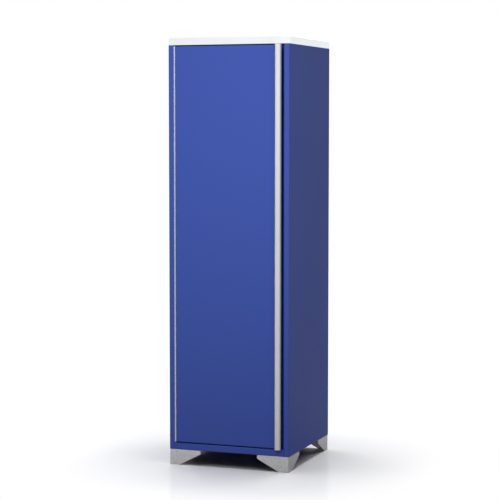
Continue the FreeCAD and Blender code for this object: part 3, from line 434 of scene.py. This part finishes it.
def plate(side, ease):
    """Section of a leaf behind its fingers, with its corners eased."""
    near, far = sorted((KNUCKLE_RADIUS, KNUCKLE_RADIUS - LEAF))
    start, end = PLATE_START, hinge_rear - wire[1]
    across = np.array([near + ease, far - ease, far, far, far - ease, near + ease, near, near])
    along = np.array([start, start, start + EASED, end - EASED, end, end, end - EASED, start + EASED])
    return wire[:2] + np.array([across * -side, along]).T


def swept(section, side, low, high):
    """Rings of a section swept from low to high, which are arrays of heights, with its ends eased."""
    rings = []
    for height, ease in ((low, EASED), (low + EASED, 0.0), (high - EASED, 0.0), (high, EASED)):
        flat = section(side, ease)
        ring = np.empty((len(height), len(flat), 3))
        ring[..., :2] = flat
        ring[..., 2] = height[:, None]
        rings.append(ring)
    return np.stack(rings, axis=1)


for first, side, name, body in ((0, 1, "hinge_frame_leaf", "cabinet"), (1, -1, "hinge_door_leaf", "door")):
    base = hinge_low + np.arange(first, KNUCKLES, 2) * pitch
    fingers = swept(finger, side, base + KNUCKLE_GAP / 2, base + pitch - KNUCKLE_GAP / 2)
    whole = swept(plate, side, np.array([hinge_low]), np.array([hinge_high]))
    lofted(f"{name}_rolled", [fingers, whole], satin, body, name)

# ---------------------------------------------------------------- door
# An outer pan folded from 1.2 mm sheet and a ribbed 1 mm liner, with a channel bonded between them as a
# stiffener. They are powder-coated as the carcass is.

dress(powder_coat("door_powder_coat", ROYAL_BLUE), "door_skin", "door_liner", "door_stiffener")

# ---------------------------------------------------------------- handle
# An anodised aluminium extrusion as tall as the door, screwed on from inside the door, with a cap pressed
# into each end. It overhangs the door's edge, with room for fingers behind.

ALUMINIUM = (0.7, 0.705, 0.71)

anodised = Finish("satin_anodised_aluminium", Metallic=0.1)
draw_lines = anodised.noise(1800.0, stretch=(1, 1, 500))
haze = anodised.noise(14.0)
drawn = anodised.mix(draw_lines * 0.7 + haze * 0.3, tint(ALUMINIUM, 0.95), tint(ALUMINIUM, 1.03))
anodised.show(Base_Color=drawn, Roughness=draw_lines * 0.12 + 0.42,
              Normal=anodised.bump(draw_lines, 0.000006))

NOSE_CORNER = 0.0055
OVERHANG_CORNER = 0.003
OVERHANG_CLEAR = 0.003  # overhang's rear in front of the door's face
DOOR_RADIUS = 0.002  # the seat ends where the door's face turns in
CORNER_POINTS = 9
CAP_EDGE = [(0, 0), (0.0014, 0), (0.0018, 0.0002), (0.002, 0.0007)]  # (past the handle's end, inset)

handle_low, handle_high = (np.array(corner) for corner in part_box("door_handle"))
seat_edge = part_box("door_skin")[1][0] - DOOR_RADIUS


def handle_section(inset):
    """Outline of the handle seen from above, moved in by an inset: three corners, each points at
    centre + radius * (cos a, sin a) over a quarter turn, and then the step and the seat on the door."""
    face = handle_high[1]
    nose_y = handle_low[1] + NOSE_CORNER
    rear = face - OVERHANG_CLEAR
    corners = [(handle_low[0] + NOSE_CORNER, nose_y, NOSE_CORNER, 2),
               (handle_high[0] - NOSE_CORNER, nose_y, NOSE_CORNER, 3),
               (handle_high[0] - OVERHANG_CORNER, rear - OVERHANG_CORNER, OVERHANG_CORNER, 0)]
    turns = []
    for x, y, radius, quarter in corners:
        angle = np.linspace(quarter, quarter + 1, CORNER_POINTS) * math.pi / 2
        turns.append((x, y) + (radius - inset) * np.array([np.cos(angle), np.sin(angle)]).T)
    step = (seat_edge - inset, rear - inset)
    seat = [(seat_edge - inset, face - inset), (handle_low[0] + inset, face - inset)]
    return np.concatenate([*turns, [step], seat])


def handle_rings(stations):
    """Rings of the handle's outline at (height, inset) stations."""
    rings = []
    for height, inset in stations:
        flat = handle_section(inset)
        rings.append(np.column_stack([flat, np.full(len(flat), height)]))
    return np.array(rings)[None]


low, high = handle_low[2], handle_high[2]
bar = handle_rings([(low, 0), (high, 0)])
lofted("handle_bar", [bar], anodised, "door", "door_handle")
for name, end, way in (("handle_cap_top", high, 1), ("handle_cap_bottom", low, -1)):
    cap = handle_rings([(end + way * out, inset) for out, inset in CAP_EDGE])
    lofted(f"{name}_eased", [cap], anodised, "door", name)

# ---------------------------------------------------------------- studio
# A pale floor that runs out to white, soft boxes for the locker, two more for the floor's shadow, and the
# camera.

WHITE = (1, 1, 1, 1)
BLACK = (0, 0, 0, 1)
FLOOR_HALF = 30.0

floor_mesh = bpy.data.meshes.new("floor")
corners = [(x * FLOOR_HALF, y * FLOOR_HALF, 0.0) for x, y in ((-1, -1), (1, -1), (1, 1), (-1, 1))]
floor_mesh.from_pydata(corners, [], [(0, 1, 2, 3)])
floor = bpy.data.objects.new("floor", floor_mesh)
bpy.context.scene.collection.objects.link(floor)


def seen(network):
    """1 for rays from the camera, from a reflection or through glass, and 0 for the light itself."""
    eye, gloss, glass = (network.add("ShaderNodeLightPath", {}, {}, ray)
                         for ray in ("Is Camera Ray", "Is Glossy Ray", "Is Transmission Ray"))
    return eye.worked("MAXIMUM", eye.worked("MAXIMUM", eye, gloss), glass)


FLOOR_GLOSS = 0.1
DULL = (0.2, 0.32)  # from the middle: where the sheen sets in
FADE = (0.5, 0.95)  # from the middle: where the lit floor gives way to plain white

# The floor is white to look at, but sends no light back up to the locker.
ground = Finish("studio_floor")
floor.data.materials.append(ground.material)
distance = ground.add("ShaderNodeVectorMath", {"operation": "LENGTH"}, {0: ground.place}, "Value")
shown = seen(ground)
away = ground.band(distance, *FADE) * shown
matt = ground.add("ShaderNodeBsdfDiffuse", {}, {"Color": ground.mix(shown, BLACK, WHITE)}, 0)
sheen = ground.add("ShaderNodeBsdfGlossy", {}, {"Color": WHITE, "Roughness": 0.15}, 0)
gloss = ground.band(distance, *DULL) * FLOOR_GLOSS
near = ground.add("ShaderNodeMixShader", {}, {0: gloss, 1: matt, 2: sheen}, 0)
far = ground.add("ShaderNodeEmission", {}, {"Color": WHITE, "Strength": 1.0}, 0)
surface = ground.add("ShaderNodeMixShader", {}, {0: away, 1: near, 2: far}, 0)
ground.feed(ground.tree.nodes["Material Output"], {"Surface": surface})

WORLD_LIGHT = 0.03

world = bpy.data.worlds.new("studio")
bpy.context.scene.world = world
world.use_nodes = True
sky = Network(world.node_tree)
strength = seen(sky) * (1 - WORLD_LIGHT) + WORLD_LIGHT
sky.feed(sky.tree.nodes["Background"], {"Color": WHITE, "Strength": strength})


def lamp(name, place, target, size, power, spread=180.0, on_floor="EXCLUDE"):
    """A soft box, size wide and deep, that faces a target. spread is its beam in degrees. It lights all but
    the floor, or with on_floor INCLUDE the floor alone."""
    light = bpy.data.lights.new(name, "AREA")
    light.shape = "RECTANGLE"
    light.size, light.size_y = size
    light.energy = power
    light.spread = math.radians(spread)
    box = bpy.data.objects.new(name, light)
    box.location = place
    box.rotation_mode = "QUATERNION"
    box.rotation_quaternion = (Vector(target) - Vector(place)).to_track_quat("-Z", "Y")
    bpy.context.scene.collection.objects.link(box)
    lit = bpy.data.collections.new(f"lit_by_{name}")
    lit.objects.link(floor)
    box.light_linking.receiver_collection = lit
    lit.collection_objects[0].light_linking.link_state = on_floor
    return box


FRONT = (0.0, -0.2, 1.18)
SQUARE = (1.2, 1.2)
BEAM = 60.0

lamp("key", (0.0, -3.5, 2.8), FRONT, SQUARE, 11.9, BEAM)
lamp("side", (2.3, -2.1, 2.2), FRONT, SQUARE, 2.7, BEAM)
lamp("left", (-3.2, 0.6, 1.6), (-0.23, 0.0, 0.8), SQUARE, 6.0, BEAM)
lamp("rear", (-0.8, 3.2, 1.8), (0.0, 0.2, 0.9), SQUARE, 40.0)
lamp("top", (-0.15, 0.14, 8.0), (0.0, 0.0, 0.0), (2.2, 2.6), 640.0)

# A low strip in front, which only shows as a sheen on the lower door.
strip = lamp("low", (-0.9, -1.9, 0.15), (0.0, -0.2, 0.2), (2.4, 0.3), 6.0)
strip.visible_diffuse = False
strip.visible_camera = False

# Two lamps for the floor, which give one shadow with a dark middle and a soft rim.
lamp("shadow", (-0.1, 0.2, 6.0), (-0.1, 0.2, 0.0), (2.2, 2.0), 260.0, on_floor="INCLUDE")
lamp("room", (0.0, -0.2, 6.0), (0.0, -0.2, 0.0), (13.0, 13.0), 325.0, on_floor="INCLUDE")

CAMERA_PLACE = (2.0976, -5.6897, 1.2352)
CAMERA_AZIMUTH = math.radians(20.23)
CAMERA_DIP = math.radians(4.377)
LENS_PIXELS = 1651.5
FRAME_PIXELS = 500.0  # width of the frame that LENS_PIXELS, the focal length, is measured in

view = bpy.data.cameras.new("view")
view.sensor_width = 36.0
view.lens = LENS_PIXELS / FRAME_PIXELS * view.sensor_width
camera = bpy.data.objects.new("camera", view)
level = math.cos(CAMERA_DIP)
ahead = Vector((-math.sin(CAMERA_AZIMUTH) * level, math.cos(CAMERA_AZIMUTH) * level, -math.sin(CAMERA_DIP)))
camera.location = CAMERA_PLACE
camera.rotation_mode = "QUATERNION"
camera.rotation_quaternion = ahead.to_track_quat("-Z", "Y")
bpy.context.scene.collection.objects.link(camera)
bpy.context.scene.camera = camera
bpy.context.scene.view_settings.view_transform = "Standard"
